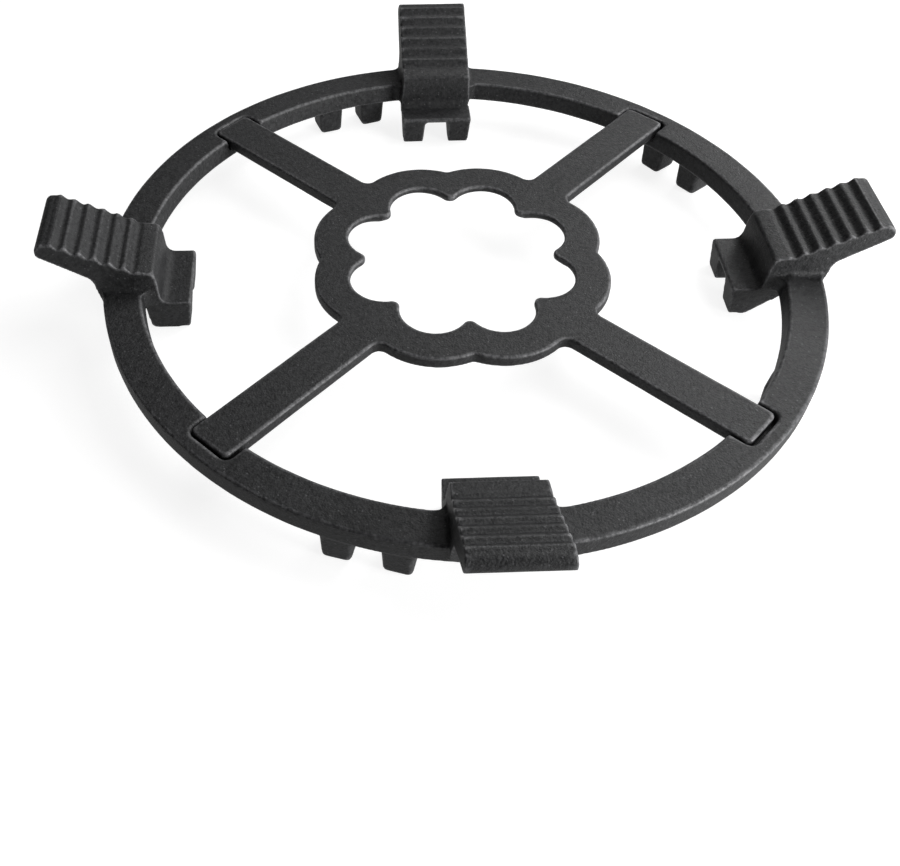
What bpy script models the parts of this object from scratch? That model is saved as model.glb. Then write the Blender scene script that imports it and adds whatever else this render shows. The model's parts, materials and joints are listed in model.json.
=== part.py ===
"""Cast-iron wok ring for a gas hob, with the drop-in stand that carries a small pot.

Metres, +Z up.  The origin is the centre of the ring at the height of its feet, the pads lie on
the X and Y axes and the stand's arms on the diagonals.
"""

import math

import bmesh
import bpy
from mathutils import Matrix, Vector

MM = 0.001

# Ring
RING_OUTER_R = 120.0 * MM
RING_WIDTH = 12.3 * MM
RING_INNER_R = RING_OUTER_R - RING_WIDTH
RING_THICKNESS = 7.1 * MM
RING_INNER_DRAFT = 0.9 * MM
RING_EDGE_R = 0.9 * MM
RING_TOP = 17.5 * MM
RING_STEPS = 96
RING_BOTTOM = RING_TOP - RING_THICKNESS

# Ribbed pads, one on each half axis
PAD_ANGLES = (0.0, 90.0, 180.0, 270.0)
PAD_HALF_WIDTH = 13.2 * MM
PAD_DRAFT = 0.06
PAD_EDGE_R = 0.6 * MM
FACE_ANGLE = math.radians(25.3)
GROOVE_COUNT = 6
GROOVE_PITCH = 4.4 * MM
GROOVE_DEPTH = 1.1 * MM
GROOVE_INSET = 0.9 * MM
GROOVE_RISE = 7.7 * MM
GROOVE_FIRST_R = RING_INNER_R + GROOVE_INSET
GROOVE_FIRST_Z = RING_TOP + GROOVE_RISE
GROOVE_POINTS = 6
LAND_OVERHANG = 5.7 * MM
LAND_RISE = 5.8 * MM
LAND_INNER = (RING_INNER_R - LAND_OVERHANG, RING_TOP + LAND_RISE)
TIP_REACH = 15.2 * MM
TIP_RISE = 16.0 * MM
TIP_CENTRE = (RING_OUTER_R + TIP_REACH, RING_TOP + TIP_RISE)
TIP_R = 2.8 * MM
TIP_ARC = (112.0, -40.0)
UNDERSIDE_REACH = 1.9 * MM
UNDERSIDE_RISE = 4.6 * MM
UNDERSIDE_CORNER = (RING_OUTER_R + UNDERSIDE_REACH, RING_TOP + UNDERSIDE_RISE)
UNDERSIDE_FILLET = 4.0 * MM
POST_FOOT_INSET = 0.4 * MM
POST_FOOT_RISE = 1.6 * MM
POST_FOOT_R = RING_OUTER_R - POST_FOOT_INSET
POST_FOOT_Z = RING_BOTTOM + POST_FOOT_RISE
POST_TOP_OVERHANG = 6.5 * MM
POST_TOP_RISE = 2.2 * MM
POST_OVERHANG = 7.0 * MM
POST_INNER_TOP = (RING_INNER_R - POST_TOP_OVERHANG, RING_TOP + POST_TOP_RISE)
POST_INNER_R = RING_INNER_R - POST_OVERHANG

# Lug with two prongs under each pad
LUG_DROP = 6.2 * MM
LUG_TOP = RING_TOP - LUG_DROP
LUG_OVERHANG = 16.8 * MM
LUG_INNER_R = RING_INNER_R - LUG_OVERHANG
LUG_LEAN = 1.5 * MM
LUG_DRAFT = 0.075
LUG_FOOT_GAP = 9.4 * MM
LUG_SLOPE_INSET = 3.6 * MM
LUG_FOOT_END_R = RING_INNER_R - LUG_FOOT_GAP
LUG_SLOPE_END_R = RING_INNER_R + LUG_SLOPE_INSET
LONG_LUG_ANGLE = 180.0
LONG_LUG_GAP = 2.4 * MM
LONG_LUG_END_R = RING_INNER_R - LONG_LUG_GAP
LUG_NOTCH_TOP = 9.0 * MM
LUG_NOTCH_FOOT = 10.2 * MM
LUG_NOTCH_DROP = 8.0 * MM
LUG_NOTCH_ROOF = RING_TOP - LUG_NOTCH_DROP
PARTING_DROP = 0.7 * MM
PARTING_Z = RING_BOTTOM - PARTING_DROP

# Teeth in pairs under the ring
TOOTH_PAIR_ANGLES = (36.0, 108.0, 252.0, 324.0)
TOOTH_WIDTH = 8.8 * MM
TOOTH_GAP = 9.0 * MM
TOOTH_DRAFT = 0.05
TOOTH_INNER_INSET = 0.8 * MM
TOOTH_OUTER_INSET = 1.4 * MM
TOOTH_INNER_R = RING_INNER_R + TOOTH_INNER_INSET
TOOTH_OUTER_R = RING_OUTER_R - TOOTH_OUTER_INSET
TOOTH_EDGE_R = 1.4 * MM

# Fillets between the pads and the ring
TOP_COVE_R = 1.6 * MM
INNER_COVE_R = 3.5 * MM

# Pot stand
STAND_RISE = 0.4 * MM
STAND_TOP = RING_TOP + STAND_RISE
STAND_THICKNESS = 4.2 * MM
STAND_EDGE_R = 0.7 * MM
ARM_ANGLES = (45.0, 135.0, 225.0, 315.0)
ARM_HALF_WIDTH = 7.65 * MM
ARM_END_INSET = 5.8 * MM
ARM_END_R = RING_OUTER_R - ARM_END_INSET
ARM_CORNER_R = 2.0 * MM
ARM_FILLET = 3.0 * MM
LOBE_COUNT = 8
OPENING_LOBE_CENTRE = 28.4 * MM
OPENING_LOBE_R = 11.2 * MM
OPENING_CUSP_R = 2.4 * MM
OUTER_LOBE_CENTRE = 26.9 * MM
OUTER_LOBE_R = 24.4 * MM
OUTER_NOTCH_R = 2.4 * MM
UNDERCUT_WIDTH = 3.0 * MM
UNDERCUT_HEIGHT = 2.2 * MM
STAND_SHIFT = -0.4 * MM

# Pockets in the ring that hold the arms' ends
POCKET_SIDE_GAP = 0.8 * MM
POCKET_END_GAP = 1.0 * MM
POCKET_CORNER_R = 3.0 * MM
POCKET_FLOOR_GAP = 0.3 * MM
POCKET_RIM = 0.5 * MM

# Overlap of joined shapes, and the length of a cutter beyond what it cuts
OVERLAP = 1.0 * MM
BEYOND = 5.0 * MM


def clear_scene():
    """Remove every object and collection of the open scene."""
    for item in list(bpy.data.objects):
        bpy.data.objects.remove(item, do_unlink=True)
    for group in list(bpy.data.collections):
        bpy.data.collections.remove(group)


def make_collection(name):
    """Return a new collection linked to the scene."""
    group = bpy.data.collections.new(name)
    bpy.context.scene.collection.children.link(group)
    return group


def make_material(name, colour, roughness, metallic):
    """Return a Principled material with plain values."""
    material = bpy.data.materials.new(name)
    material.use_nodes = True
    material.diffuse_color = (*colour, 1.0)
    shader = material.node_tree.nodes["Principled BSDF"]
    shader.inputs["Base Color"].default_value = (*colour, 1.0)
    shader.inputs["Roughness"].default_value = roughness
    shader.inputs["Metallic"].default_value = metallic
    return material


def object_from_bmesh(name, bm, group):
    """Store a bmesh, with its faces turned outward, as a new object."""
    bmesh.ops.recalc_face_normals(bm, faces=bm.faces)
    mesh = bpy.data.meshes.new(name)
    bm.to_mesh(mesh)
    bm.free()
    item = bpy.data.objects.new(name, mesh)
    group.objects.link(item)
    return item


def arc(centre, radius, start, end, steps):
    """Points on an arc, both ends included; the angles are in degrees."""
    points = []
    for i in range(steps + 1):
        angle = math.radians(start + (end - start) * i / steps)
        points.append((centre[0] + radius * math.cos(angle), centre[1] + radius * math.sin(angle)))
    return points


def rounded(corners, step=30.0):
    """Outline of a polygon of (x, y, radius) corners, each turned into an arc."""
    points = []
    count = len(corners)
    for i, (x, y, radius) in enumerate(corners):
        here = Vector((x, y))
        before = (Vector(corners[i - 1][:2]) - here).normalized()
        after = (Vector(corners[(i + 1) % count][:2]) - here).normalized()
        turn = math.pi - before.angle(after)
        if radius == 0.0 or turn < math.radians(3.0):
            points.append((x, y))
            continue
        reach = radius * math.tan(turn / 2.0)
        first = here + before * reach
        last = here + after * reach
        centre = here + (before + after).normalized() * (radius / math.cos(turn / 2.0))
        steps = max(2, round(math.degrees(turn) / step))
        start = first - centre
        sweep = start.angle_signed(last - centre)
        for k in range(steps + 1):
            spoke = Matrix.Rotation(-sweep * k / steps, 2) @ start
            points.append(tuple(centre + spoke))
    return points


def prism(name, outline, half_width, group, split_z=None):
    """Extrude an outline in X and Z to both sides; half_width(x, z) may vary over the outline."""
    bm = bmesh.new()
    face = bm.faces.new([bm.verts.new((x, -1.0, z)) for x, z in outline])
    swept = bmesh.ops.extrude_face_region(bm, geom=[face])
    for part in swept["geom"]:
        if isinstance(part, bmesh.types.BMVert):
            part.co.y = 1.0
    if split_z is not None:
        geometry = bm.verts[:] + bm.edges[:] + bm.faces[:]
        bmesh.ops.bisect_plane(bm, geom=geometry, plane_co=(0.0, 0.0, split_z), plane_no=(0.0, 0.0, 1.0))
    for vert in bm.verts:
        vert.co.y *= half_width(vert.co.x, vert.co.z)
    return object_from_bmesh(name, bm, group)


def loft(name, loops, group):
    """Close a solid over loops of equally many points, the first and last loops filled."""
    bm = bmesh.new()
    rows = [[bm.verts.new(point) for point in loop] for loop in loops]
    count = len(rows[0])
    for low, high in zip(rows, rows[1:]):
        for i in range(count):
            j = (i + 1) % count
            bm.faces.new((low[i], low[j], high[j], high[i]))
    bm.faces.new(rows[0])
    bm.faces.new(rows[-1])
    return object_from_bmesh(name, bm, group)


def turn_to(item, degrees):
    """Turn an object about the ring's axis."""
    item.rotation_euler = (0.0, 0.0, math.radians(degrees))
    return item


def add_bevel(item, width, segments, angle):
    """Round the edges sharper than an angle in degrees."""
    bevel = item.modifiers.new("rounding", "BEVEL")
    bevel.width = width
    bevel.segments = segments
    bevel.limit_method = "ANGLE"
    bevel.angle_limit = math.radians(angle)
    bevel.use_clamp_overlap = False
    return bevel


def add_boolean(item, operand, operation):
    """Join or cut with an exact Boolean; operand is a collection or an object."""
    boolean = item.modifiers.new(operation.lower(), "BOOLEAN")
    boolean.operation = operation
    boolean.solver = "EXACT"
    if isinstance(operand, bpy.types.Collection):
        boolean.operand_type = "COLLECTION"
        boolean.collection = operand
    else:
        boolean.object = operand
    return boolean


def hide_helpers(group):
    """Keep cutters and joined shapes out of the finished model."""
    for item in group.all_objects:
        item.hide_render = True
        item.display_type = "WIRE"


def shade(item, material):
    """Give a finished piece its material and smooth shading with crisp edges."""
    item.data.materials.clear()
    item.data.materials.append(material)
    item.data.shade_smooth()
    item.data.set_sharp_from_angle(angle=math.radians(40.0))


def ring_blank(group):
    """Ring as a turned profile that runs down the outer wall and up the drafted inner wall."""
    corners = [
        (RING_OUTER_R, RING_TOP, RING_EDGE_R),
        (RING_OUTER_R, RING_BOTTOM, RING_EDGE_R),
        (RING_INNER_R - RING_INNER_DRAFT, RING_BOTTOM, RING_EDGE_R),
        (RING_INNER_R, RING_TOP, RING_EDGE_R),
    ]
    outline = rounded(corners)
    mesh = bpy.data.meshes.new("wok_ring")
    edges = [(i, (i + 1) % len(outline)) for i in range(len(outline))]
    mesh.from_pydata([(x, 0.0, z) for x, z in outline], edges, [])
    item = bpy.data.objects.new("wok_ring", mesh)
    group.objects.link(item)
    screw = item.modifiers.new("turn", "SCREW")
    screw.steps = RING_STEPS
    screw.render_steps = RING_STEPS
    screw.use_merge_vertices = True
    screw.merge_threshold = 0.00001
    return item


def face_z(radius):
    """Height of the plane through the ridges' crests."""
    return GROOVE_FIRST_Z + (radius - GROOVE_FIRST_R) * math.tan(FACE_ANGLE)


def pad_half_width(radius, z):
    """Half width of pad, post and lug: it grows down to the parting line, then shrinks."""
    upper = PAD_HALF_WIDTH + PAD_DRAFT * (face_z(radius) - max(z, PARTING_Z))
    return upper - LUG_DRAFT * max(PARTING_Z - z, 0.0)


def ridge_points():
    """Points of the wavy face, from the crest before the first groove up to the nose."""
    points = []
    steps = GROOVE_COUNT * GROOVE_POINTS
    for i in range(steps):
        turns = i / GROOVE_POINTS
        radius = GROOVE_FIRST_R + GROOVE_PITCH * (turns - 0.5)
        sink = GROOVE_DEPTH * 0.5 * (1.0 - math.cos(2.0 * math.pi * turns))
        points.append((radius, face_z(radius) - sink, 0.0))
    return points


def pad_corners(angle):
    """Side view of one pad with its post and lug, as (radius, z, rounding) corners."""
    tip = [(x, z, 0.0) for x, z in arc(TIP_CENTRE, TIP_R, *TIP_ARC, 7)]
    if angle == LONG_LUG_ANGLE:
        foot = [(LONG_LUG_END_R + 1.2 * MM, POST_FOOT_Z, 0.0), (LONG_LUG_END_R, 0.0, 2.2 * MM)]
    else:
        foot = [(LUG_SLOPE_END_R + 1.5 * MM, POST_FOOT_Z, 0.0), (LUG_FOOT_END_R, 0.0, 1.5 * MM)]
    return (
        [(*LAND_INNER, 1.5 * MM)]
        + ridge_points()
        + tip
        + [(*UNDERSIDE_CORNER, UNDERSIDE_FILLET), (POST_FOOT_R, POST_FOOT_Z, 0.0)]
        + foot
        + [
            (LUG_INNER_R + LUG_LEAN, 0.0, 0.8 * MM),
            (LUG_INNER_R, LUG_TOP, 1.0 * MM),
            (POST_INNER_R, LUG_TOP, 3.0 * MM),
            (*POST_INNER_TOP, 3.0 * MM),
        ]
    )


def notch_cutter(angle, group):
    """Gap between the two prongs of a lug, wider towards the foot."""
    foot = -BEYOND
    flare = (LUG_NOTCH_FOOT - LUG_NOTCH_TOP) / LUG_NOTCH_ROOF
    top_half = LUG_NOTCH_TOP / 2.0
    foot_half = top_half + flare / 2.0 * (LUG_NOTCH_ROOF - foot)
    corners = [
        (-top_half, LUG_NOTCH_ROOF, 1.0 * MM),
        (top_half, LUG_NOTCH_ROOF, 1.0 * MM),
        (foot_half, foot, 0.0),
        (-foot_half, foot, 0.0),
    ]
    outline = rounded(corners)
    loops = []
    for radius in (LUG_INNER_R - BEYOND, LUG_SLOPE_END_R + BEYOND):
        loops.append([(radius, y, z) for y, z in outline])
    return turn_to(loft(f"lug_notch_{angle:.0f}", loops, group), angle)


def top_cove(angle, side, group):
    """Concave fillet between one side of a post and the top of the ring."""
    section = [(-OVERLAP, TOP_COVE_R)]
    section += arc((TOP_COVE_R, TOP_COVE_R), TOP_COVE_R, 180.0, 270.0, 3)
    section += [(TOP_COVE_R, -OVERLAP), (-OVERLAP, -OVERLAP)]
    loops = []
    for radius in (RING_INNER_R + RING_EDGE_R, RING_OUTER_R - RING_EDGE_R):
        loop = []
        for offset, rise in section:
            width = pad_half_width(radius, RING_TOP + rise) + offset
            loop.append((radius, side * width, RING_TOP + rise))
        loops.append(loop)
    return turn_to(loft(f"top_cove_{angle:.0f}_{side}", loops, group), angle)


def inner_cove(angle, side, group):
    """Upright concave fillet between one side of a post and the ring's inner wall."""
    reach = RING_INNER_R - INNER_COVE_R
    buried = RING_INNER_R + 3.0 * OVERLAP
    loops = []
    for z in (RING_BOTTOM + RING_EDGE_R, RING_TOP - RING_EDGE_R / 3.0):
        half = pad_half_width(RING_INNER_R, z)
        centre_x = math.sqrt(reach ** 2 - (half + INNER_COVE_R) ** 2)
        end = math.degrees(math.atan2(half + INNER_COVE_R, centre_x))
        outline = arc((centre_x, half + INNER_COVE_R), INNER_COVE_R, -90.0, end, 4)
        outline += [(buried, outline[-1][1]), (buried, half - OVERLAP), (centre_x, half - OVERLAP)]
        loops.append([(x, side * y, z) for x, y in outline])
    return turn_to(loft(f"inner_cove_{angle:.0f}_{side}", loops, group), angle)


def add_pads(pads, cutters):
    """All pads with their posts, lugs and fillets."""
    for angle in PAD_ANGLES:
        outline = rounded(pad_corners(angle))
        pad = prism(f"pad_{angle:.0f}", outline, pad_half_width, pads, split_z=PARTING_Z)
        add_bevel(pad, PAD_EDGE_R, 2, 60.0)
        add_boolean(turn_to(pad, angle), notch_cutter(angle, cutters), "DIFFERENCE")
        for side in (-1, 1):
            top_cove(angle, side, pads)
            inner_cove(angle, side, pads)


def add_teeth(group):
    """Pairs of teeth whose gap takes one finger of the hob's pan support."""
    top = RING_BOTTOM + 2.0 * OVERLAP
    middle_r = (TOOTH_INNER_R + TOOTH_OUTER_R) / 2.0
    for angle in TOOTH_PAIR_ANGLES:
        for side in (-1, 1):
            bm = bmesh.new()
            bmesh.ops.create_cube(bm, size=1.0)
            for vert in bm.verts:
                z = top if vert.co.z > 0.0 else 0.0
                spread = 2.0 * TOOTH_DRAFT * z
                depth = TOOTH_OUTER_R - TOOTH_INNER_R + spread
                width = TOOTH_WIDTH + spread
                centre_y = side * (TOOTH_GAP + TOOTH_WIDTH) / 2.0
                vert.co = (middle_r + vert.co.x * depth, centre_y + vert.co.y * width, z)
            tooth = object_from_bmesh(f"tooth_{angle:.0f}_{side}", bm, group)
            add_bevel(turn_to(tooth, angle), TOOTH_EDGE_R, 2, 30.0)


def add_pockets(group):
    """Cutters for the shallow pockets, open to the inside, with a flared rim."""
    floor = STAND_TOP - STAND_THICKNESS - POCKET_FLOOR_GAP
    half = ARM_HALF_WIDTH + POCKET_SIDE_GAP
    end = ARM_END_R + POCKET_END_GAP
    start = RING_INNER_R - BEYOND
    levels = [
        (floor, 0.0),
        (RING_TOP - POCKET_RIM, 0.0),
        (RING_TOP - 0.3 * POCKET_RIM, 0.3 * POCKET_RIM),
        (RING_TOP, POCKET_RIM),
        (RING_TOP + BEYOND, POCKET_RIM),
    ]
    for angle in ARM_ANGLES:
        loops = []
        for z, flare in levels:
            corners = [
                (start, -half - flare, 0.0),
                (end + flare, -half - flare, POCKET_CORNER_R),
                (end + flare, half + flare, POCKET_CORNER_R),
                (start, half + flare, 0.0),
            ]
            loops.append([(x, y, z) for x, y in rounded(corners, 22.5)])
        turn_to(loft(f"pocket_{angle:.0f}", loops, group), angle)


def opening_outline(grow=0.0):
    """Scalloped opening: lobes that bulge outward with rounded cusps of metal between them."""
    lobe_r = OPENING_LOBE_R + grow
    cusp_r = max(OPENING_CUSP_R - grow, 0.2 * MM)
    half_step = math.pi / LOBE_COUNT
    lobe_x = OPENING_LOBE_CENTRE * math.cos(half_step)
    lobe_y = OPENING_LOBE_CENTRE * math.sin(half_step)
    cusp_x = lobe_x + math.sqrt((lobe_r + cusp_r) ** 2 - lobe_y ** 2)
    lean = math.degrees(math.atan2(lobe_y, cusp_x - lobe_x))
    span = lean + math.degrees(half_step)
    points = []
    for k in range(LOBE_COUNT):
        turn = Matrix.Rotation(math.radians(360.0 * k / LOBE_COUNT), 2)
        cusp = arc((cusp_x, 0.0), cusp_r, 180.0 + lean, 180.0 - lean, 5)
        lobe = arc((OPENING_LOBE_CENTRE, 0.0), lobe_r, -span, span, 12)
        to_lobe = Matrix.Rotation(half_step, 2)
        lobe = [tuple(to_lobe @ Vector(point)) for point in lobe]
        points += [tuple(turn @ Vector(point)) for point in cusp + lobe[1:-1]]
    return points


def outer_outline():
    """Outer contour of the stand: two lobes between each pair of arms, then the arm itself."""
    half_step = math.pi / LOBE_COUNT
    lobe_x = OUTER_LOBE_CENTRE * math.cos(half_step)
    lobe_y = OUTER_LOBE_CENTRE * math.sin(half_step)
    notch_x = lobe_x + math.sqrt((OUTER_LOBE_R + OUTER_NOTCH_R) ** 2 - lobe_y ** 2)
    notch_lean = math.degrees(math.atan2(lobe_y, notch_x - lobe_x))
    fillet_y = ARM_HALF_WIDTH + ARM_FILLET
    fillet_x = lobe_x + math.sqrt((OUTER_LOBE_R + ARM_FILLET) ** 2 - (fillet_y - lobe_y) ** 2)
    fillet_lean = math.degrees(math.atan2(fillet_y - lobe_y, fillet_x - lobe_x))
    arm_turn = math.degrees(2.0 * half_step)

    half = arc((notch_x, 0.0), OUTER_NOTCH_R, 180.0, 180.0 - notch_lean, 3)
    lobe_end = arm_turn - fillet_lean
    half += arc((lobe_x, lobe_y), OUTER_LOBE_R, -notch_lean, lobe_end, 9)[1:-1]
    fillet = arc((fillet_x, -fillet_y), ARM_FILLET, 180.0 - fillet_lean, 90.0, 4)
    corner = arc(
        (ARM_END_R - ARM_CORNER_R, -ARM_HALF_WIDTH + ARM_CORNER_R), ARM_CORNER_R, -90.0, 0.0, 3
    )
    to_arm = Matrix.Rotation(2.0 * half_step, 2)
    half += [tuple(to_arm @ Vector(point)) for point in fillet + corner]

    points = []
    for k in range(4):
        turn = Matrix.Rotation(math.radians(90.0 * k), 2)
        points += [tuple(turn @ Vector(point)) for point in half]
        mirrored = [(y, x) for x, y in reversed(half)]
        points += [tuple(turn @ Vector(point)) for point in mirrored[:-1]]
    return points


def add_spline(curve, outline):
    """Closed polyline in a flat curve."""
    spline = curve.splines.new("POLY")
    spline.points.add(len(outline) - 1)
    for point, (x, y) in zip(spline.points, outline):
        point.co = (x, y, 0.0, 1.0)
    spline.use_cyclic_u = True


def stand_blank(group):
    """Stand as a filled flat outline with rounded rims, made a mesh."""
    curve = bpy.data.curves.new("pot_stand_outline", "CURVE")
    curve.dimensions = "2D"
    curve.fill_mode = "BOTH"
    curve.extrude = STAND_THICKNESS / 2.0 - STAND_EDGE_R
    curve.bevel_depth = STAND_EDGE_R
    curve.bevel_resolution = 1
    curve.offset = -STAND_EDGE_R
    add_spline(curve, outer_outline())
    add_spline(curve, opening_outline()[::-1])
    source = bpy.data.objects.new("pot_stand_outline", curve)
    source.location.z = STAND_TOP - STAND_THICKNESS / 2.0
    group.objects.link(source)
    bpy.context.view_layer.update()

    graph = bpy.context.evaluated_depsgraph_get()
    mesh = bpy.data.meshes.new_from_object(source.evaluated_get(graph))
    mesh.name = "pot_stand"
    bm = bmesh.new()
    bm.from_mesh(mesh)
    bmesh.ops.remove_doubles(bm, verts=bm.verts, dist=0.00001)
    bmesh.ops.recalc_face_normals(bm, faces=bm.faces)
    bm.to_mesh(mesh)
    bm.free()
    item = bpy.data.objects.new("pot_stand", mesh)
    item.matrix_world = source.matrix_world.copy()
    group.objects.link(item)
    bpy.data.objects.remove(source, do_unlink=True)
    return item


def undercut(group):
    """Cutter that thins the stand from below towards its scalloped opening."""
    underside = STAND_TOP - STAND_THICKNESS
    slope = UNDERCUT_WIDTH / UNDERCUT_HEIGHT
    loops = []
    for z in (-OVERLAP, 0.0, UNDERCUT_HEIGHT):
        grow = UNDERCUT_WIDTH - slope * z
        loops.append([(x, y, underside + z) for x, y in opening_outline(grow)])
    return loft("opening_undercut", loops, group)


def build():
    """Make the ring and the stand."""
    clear_scene()
    model = make_collection("wok_ring_set")
    joined = make_collection("joined_shapes")
    cutters = make_collection("cutters")
    pockets = make_collection("pocket_cutters")

    ring = ring_blank(model)
    add_pads(joined, cutters)
    add_teeth(joined)
    add_pockets(pockets)
    add_boolean(ring, joined, "UNION")
    add_boolean(ring, pockets, "DIFFERENCE")

    stand = stand_blank(model)
    stand.location.x = STAND_SHIFT
    hollow = undercut(cutters)
    hollow.location.x = STAND_SHIFT
    add_boolean(stand, hollow, "DIFFERENCE")

    for group in (joined, cutters, pockets):
        hide_helpers(group)
    shade(ring, make_material("ring_iron", (0.045, 0.046, 0.050), 0.62, 0.35))
    shade(stand, make_material("stand_iron", (0.052, 0.053, 0.057), 0.60, 0.35))


build()
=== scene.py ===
"""Cast-iron wok ring with its drop-in pot stand, on a plain studio stage.

Metres, +Z up.  The origin is the centre of the ring at the height of its feet.  Both castings are
put together from closed shapes, fused into one skin each, softened as a sand casting is, and
given their uneven surface before the skin is thinned out again.
"""

import json
import math

import bmesh
import bpy
import numpy as np
from bpy.props import FloatProperty, FloatVectorProperty, IntProperty, PointerProperty
from mathutils import Matrix, Vector

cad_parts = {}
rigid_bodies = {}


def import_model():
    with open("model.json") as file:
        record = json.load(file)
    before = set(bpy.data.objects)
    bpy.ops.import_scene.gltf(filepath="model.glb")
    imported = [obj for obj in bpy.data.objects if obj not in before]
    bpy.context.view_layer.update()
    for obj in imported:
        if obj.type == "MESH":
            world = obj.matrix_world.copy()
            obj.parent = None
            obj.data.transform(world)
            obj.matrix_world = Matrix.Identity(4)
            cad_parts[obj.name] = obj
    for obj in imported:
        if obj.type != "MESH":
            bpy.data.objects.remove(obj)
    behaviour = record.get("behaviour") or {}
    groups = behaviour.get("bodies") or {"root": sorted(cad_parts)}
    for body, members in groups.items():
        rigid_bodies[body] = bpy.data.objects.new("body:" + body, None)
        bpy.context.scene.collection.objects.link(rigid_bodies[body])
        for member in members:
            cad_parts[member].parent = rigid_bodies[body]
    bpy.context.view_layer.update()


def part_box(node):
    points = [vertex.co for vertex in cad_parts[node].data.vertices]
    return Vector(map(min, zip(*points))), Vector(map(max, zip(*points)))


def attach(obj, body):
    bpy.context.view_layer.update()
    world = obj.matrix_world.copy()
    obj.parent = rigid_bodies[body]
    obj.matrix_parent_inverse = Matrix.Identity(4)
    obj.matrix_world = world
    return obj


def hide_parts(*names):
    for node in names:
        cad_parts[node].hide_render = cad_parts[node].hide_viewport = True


bl_info = {
    "name": "Wok Ring",
    "version": (1, 0, 0),
    "blender": (4, 5, 0),
    "location": "View3D > Sidebar > Wok Ring",
    "description": "Models a cast-iron wok ring, its pot stand and a studio stage",
    "category": "Add Mesh",
}

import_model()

# Name, place in metres, width in metres and power in watts of each lamp
LAMPS = (
    ("key_lamp", (0.45, 0.15, 0.60), 0.40, 2.3),
    ("back_right_lamp", (0.55, 0.58, 0.48), 0.35, 3.0),
    ("front_right_lamp", (0.55, -0.35, 0.16), 0.30, 5.4),
    ("back_lamp", (0.05, 0.65, 0.75), 0.60, 1.7),
)

MM = 0.001
ROOT = "root"
OVERLAP = 1.0 * MM
BEYOND = 5.0 * MM
STEP_DEGREES = 12.0
BEVEL_SEGMENTS = 4

RING_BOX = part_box("wok_ring")
PAD_TIP_R = RING_BOX[1][0]
PAD_TOP_Z = RING_BOX[1][2]

# Side view of pad, post and lug, beside the sizes in PadSizes
PARTING_DROP = 0.7 * MM  # parting line below the ring's underside
FACE_PROUD = 0.02 * MM  # uncut face above the crests of the ridges
LAND_ROUNDING = 1.5 * MM
NOSE_ARC = (112.0, -40.0, 14)  # start and end in degrees, and steps
UNDERSIDE_R, UNDERSIDE_RISE, UNDERSIDE_ROUNDING = 121.9 * MM, 4.6 * MM, 4.0 * MM
POST_FOOT_R, POST_FOOT_RISE = 119.6 * MM, 1.6 * MM
LONG_LUG_FOOT = (106.5 * MM, 105.3 * MM, 2.2 * MM)  # upper and lower outer radius, rounding
SHORT_LUG_FOOT = (112.8 * MM, 98.3 * MM, 1.5 * MM)
LUG_LEAN, LUG_FOOT_ROUNDING, LUG_TOP_ROUNDING = 1.5 * MM, 0.8 * MM, 1.0 * MM
LUG_TOP_LENGTH, POST_OFFSET = 9.8 * MM, 10.3 * MM  # outward from the lug's inner face
POST_RISE, POST_ROUNDING = 2.2 * MM, 3.0 * MM

# Cutters and fillets of a pad
GROOVE_SAMPLES, GROOVE_MARGIN, GROOVE_CUTTER_RISE = 25, 0.3 * MM, 3.0 * MM
NOTCH_ROUNDING, NOTCH_REACH = 1.0 * MM, 8.0 * MM
TOP_COVE_R, TOP_COVE_STEPS = 1.6 * MM, 8
INNER_COVE_R, INNER_COVE_STEPS = 3.5 * MM, 10

# Ring, pockets, collar and arms; the angles are in degrees
RING_STEPS, COLLAR_STEPS = 384, 640
POCKET_FLARE_PARTS = (0.3, 0.6, 1.0)
COLLAR_INNER_R, COLLAR_OUTER_R = 36.0 * MM, 50.0 * MM  # rims before they are scalloped
ARM_ROOT_R = 40.0 * MM
ARM_FILLET_STEPS, ARM_CORNER_STEPS = 10, 8
ARM_BEVEL_ANGLE = 60.0
ARM_COUNT, FIRST_ARM = 4, 45.0
QUARTER_TURN, TOOTH_STEP = 90.0, 72.0

# Skins of the two castings
SOFTEN_FACTOR, SOFTEN_PASSES = 0.5, 3
# Reach of the measure of what stands proud, which places the rubbed edges and their painted
# highlight
WEAR_AND_HIGHLIGHT_REACH = 12
RING_SEED, RING_TRIANGLES = 3.0, 190000
STAND_SEED, STAND_TRIANGLES = 7.0, 120000

# Surface of the iron: widths of its patterns, and ranges as (low, high, at low, at high)
FINE_SIZE, GLINT_SPECK_SPACING = 0.32 * MM, 1.1 * MM
MOTTLE_SIZE, DIMPLE_SIZE, PATCH_SIZE = 1.3 * MM, 1.7 * MM, 14.0 * MM
# Bright specks: small bumps, and painted glints in the colour
GLINT_SPECK_DOT = (0.12, 0.34, 1.0, 0.0)
GLINT_SPECK_SHARE = (0.74, 0.97, 0.0, 0.5)
# Mask of rubbed edges and ridge crests: real wear, and a painted highlight in the colour
RUBBED_AND_HIGHLIT = (0.13 * MM, 0.33 * MM, 0.0, 1.0)
RUB_AND_HIGHLIGHT_BREAKS = (0.38, 0.60, 0.42, 1.0)
PATCH_TONE = (0.3, 0.7, 0.88, 1.12)
MOTTLE_TONE = (0.3, 0.7, 0.80, 1.22)
FINE_TONE = (0.35, 0.65, 0.6, 1.5)
ROUGHNESS = (0.3, 0.7, 0.52, 0.68)
SHEEN = (0.35, 0.65, 0.28, 0.58)
WEAR_POLISH = 0.20  # how much smoother the rubbed edges are
FINE_HEIGHT, DIMPLE_HEIGHT, GLINT_SPECK_HEIGHT = 0.8, 1.2, 0.8  # shares of the grain's height

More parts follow.
